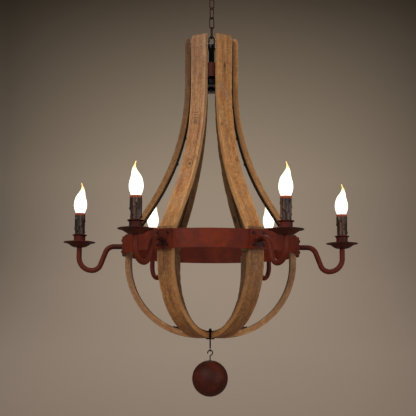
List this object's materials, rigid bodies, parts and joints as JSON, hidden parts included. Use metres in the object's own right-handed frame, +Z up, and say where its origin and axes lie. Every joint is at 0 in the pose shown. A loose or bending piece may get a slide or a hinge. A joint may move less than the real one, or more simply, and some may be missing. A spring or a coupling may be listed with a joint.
{
  "type": "chandelier",
  "caption": "Rustic chandelier of weathered barrel staves flaring from an iron hub to an iron band, with scrolled arms, drip pans, candle lights and a hanging wooden ball, on a short chain.",
  "frame": {"origin": "on the ceiling plane, midway between the two screw holes of the ceiling bracket", "axes": "+Z up along the chain, -Y towards the viewer, +X to the viewer's right"},
  "size_m": [0.798, 0.7026, 1.1564],
  "materials": {
    "rust_iron": "rust-red antiqued paint, satin",
    "dark_rust_iron": "dark rust-brown antiqued paint, satin",
    "black_iron": "glossy black lacquer",
    "old_oak": "weathered, oiled, matt",
    "worn_oak": "dark stained and weathered, matt",
    "wax_sleeve": "dark resin made to look like burnt candle wax, glossy",
    "opal_glass": "lit frosted white glass",
    "porcelain": "glazed",
    "lead_cover": "flexible black sheath",
    "ball_wood": "dark rust-brown stain, satin"
  },
  "bodies": {
    "ceiling_fitting": {"ceiling_plate": "dark_rust_iron", "ceiling_loop": "dark_rust_iron", "ceiling_bracket": "black_iron"},
    "link_1": {"chain_link_1": "dark_rust_iron"},
    "link_2": {"chain_link_2": "dark_rust_iron"},
    "link_3": {"chain_link_3": "dark_rust_iron"},
    "link_4": {"chain_link_4": "dark_rust_iron"},
    "chandelier": {"hanging_loop": "black_iron", "hub_stem": "black_iron", "hub_drum": "rust_iron", "hub_cover": "black_iron", "hub_nuts": "black_iron", "wood_screws": "dark_rust_iron", "upper_stave_1": "old_oak", "upper_stave_2": "old_oak", "upper_stave_3": "old_oak", "upper_stave_4": "old_oak", "upper_stave_5": "old_oak", "upper_stave_6": "old_oak", "lower_stave_1": "worn_oak", "lower_stave_2": "worn_oak", "lower_stave_3": "worn_oak", "lower_stave_4": "worn_oak", "lower_stave_5": "worn_oak", "lower_stave_6": "worn_oak", "iron_band": "rust_iron", "arm_1": "rust_iron", "arm_2": "rust_iron", "arm_3": "rust_iron", "arm_4": "rust_iron", "arm_5": "rust_iron", "arm_6": "rust_iron", "plate_bolts": "black_iron", "drip_pan_1": "dark_rust_iron", "drip_pan_2": "dark_rust_iron", "drip_pan_3": "dark_rust_iron", "drip_pan_4": "dark_rust_iron", "drip_pan_5": "dark_rust_iron", "drip_pan_6": "dark_rust_iron", "candle_cups": "dark_rust_iron", "candle_sleeve_1": "wax_sleeve", "candle_sleeve_2": "wax_sleeve", "candle_sleeve_3": "wax_sleeve", "candle_sleeve_4": "wax_sleeve", "candle_sleeve_5": "wax_sleeve", "candle_sleeve_6": "wax_sleeve", "lampholders": "porcelain", "leads": "lead_cover", "lead_clips": "lead_cover", "bottom_hub": "black_iron", "bottom_nut_and_washers": "black_iron", "eye_rod": "black_iron"},
    "ball": {"ball_hook": "black_iron", "wooden_ball": "ball_wood"},
    "light_1": {"bulb_1": "opal_glass"},
    "light_2": {"bulb_2": "opal_glass"},
    "light_3": {"bulb_3": "opal_glass"},
    "light_4": {"bulb_4": "opal_glass"},
    "light_5": {"bulb_5": "opal_glass"},
    "light_6": {"bulb_6": "opal_glass"}
  },
  "joints": [
    {"name": "link_1_swing", "type": "hinge", "parent": "ceiling_fitting", "child": "link_1", "pos_m": [0, 0, -0.056], "axis": [0.5736, -0.8192, 0], "range_deg": [-30, 30]},
    {"name": "link_2_swing", "type": "hinge", "parent": "link_1", "child": "link_2", "pos_m": [0, 0, -0.08435], "axis": [0.8192, 0.5736, 0], "range_deg": [-30, 30]},
    {"name": "link_3_swing", "type": "hinge", "parent": "link_2", "child": "link_3", "pos_m": [0, 0, -0.11325], "axis": [0.6561, -0.7547, 0], "range_deg": [-30, 30]},
    {"name": "link_4_swing", "type": "hinge", "parent": "link_3", "child": "link_4", "pos_m": [0, 0, -0.14215], "axis": [0.8192, 0.5736, 0], "range_deg": [-30, 30]},
    {"name": "chandelier_swing", "type": "hinge", "parent": "link_4", "child": "chandelier", "pos_m": [0, 0, -0.17105], "axis": [-0.2588, 0.9659, 0], "range_deg": [-30, 30]},
    {"name": "ball_swing", "type": "hinge", "parent": "chandelier", "child": "ball", "pos_m": [0, 0, -1.03825], "axis": [0, 1, 0], "range_deg": [-45, 45]},
    {"name": "bulb_1_out", "type": "slide", "parent": "chandelier", "child": "light_1", "axis": [0, 0, 1], "range_m": [0, 0.026]},
    {"name": "bulb_2_out", "type": "slide", "parent": "chandelier", "child": "light_2", "axis": [0, 0, 1], "range_m": [0, 0.026]},
    {"name": "bulb_3_out", "type": "slide", "parent": "chandelier", "child": "light_3", "axis": [0, 0, 1], "range_m": [0, 0.026]},
    {"name": "bulb_4_out", "type": "slide", "parent": "chandelier", "child": "light_4", "axis": [0, 0, 1], "range_m": [0, 0.026]},
    {"name": "bulb_5_out", "type": "slide", "parent": "chandelier", "child": "light_5", "axis": [0, 0, 1], "range_m": [0, 0.026]},
    {"name": "bulb_6_out", "type": "slide", "parent": "chandelier", "child": "light_6", "axis": [0, 0, 1], "range_m": [0, 0.026]}
  ]
}
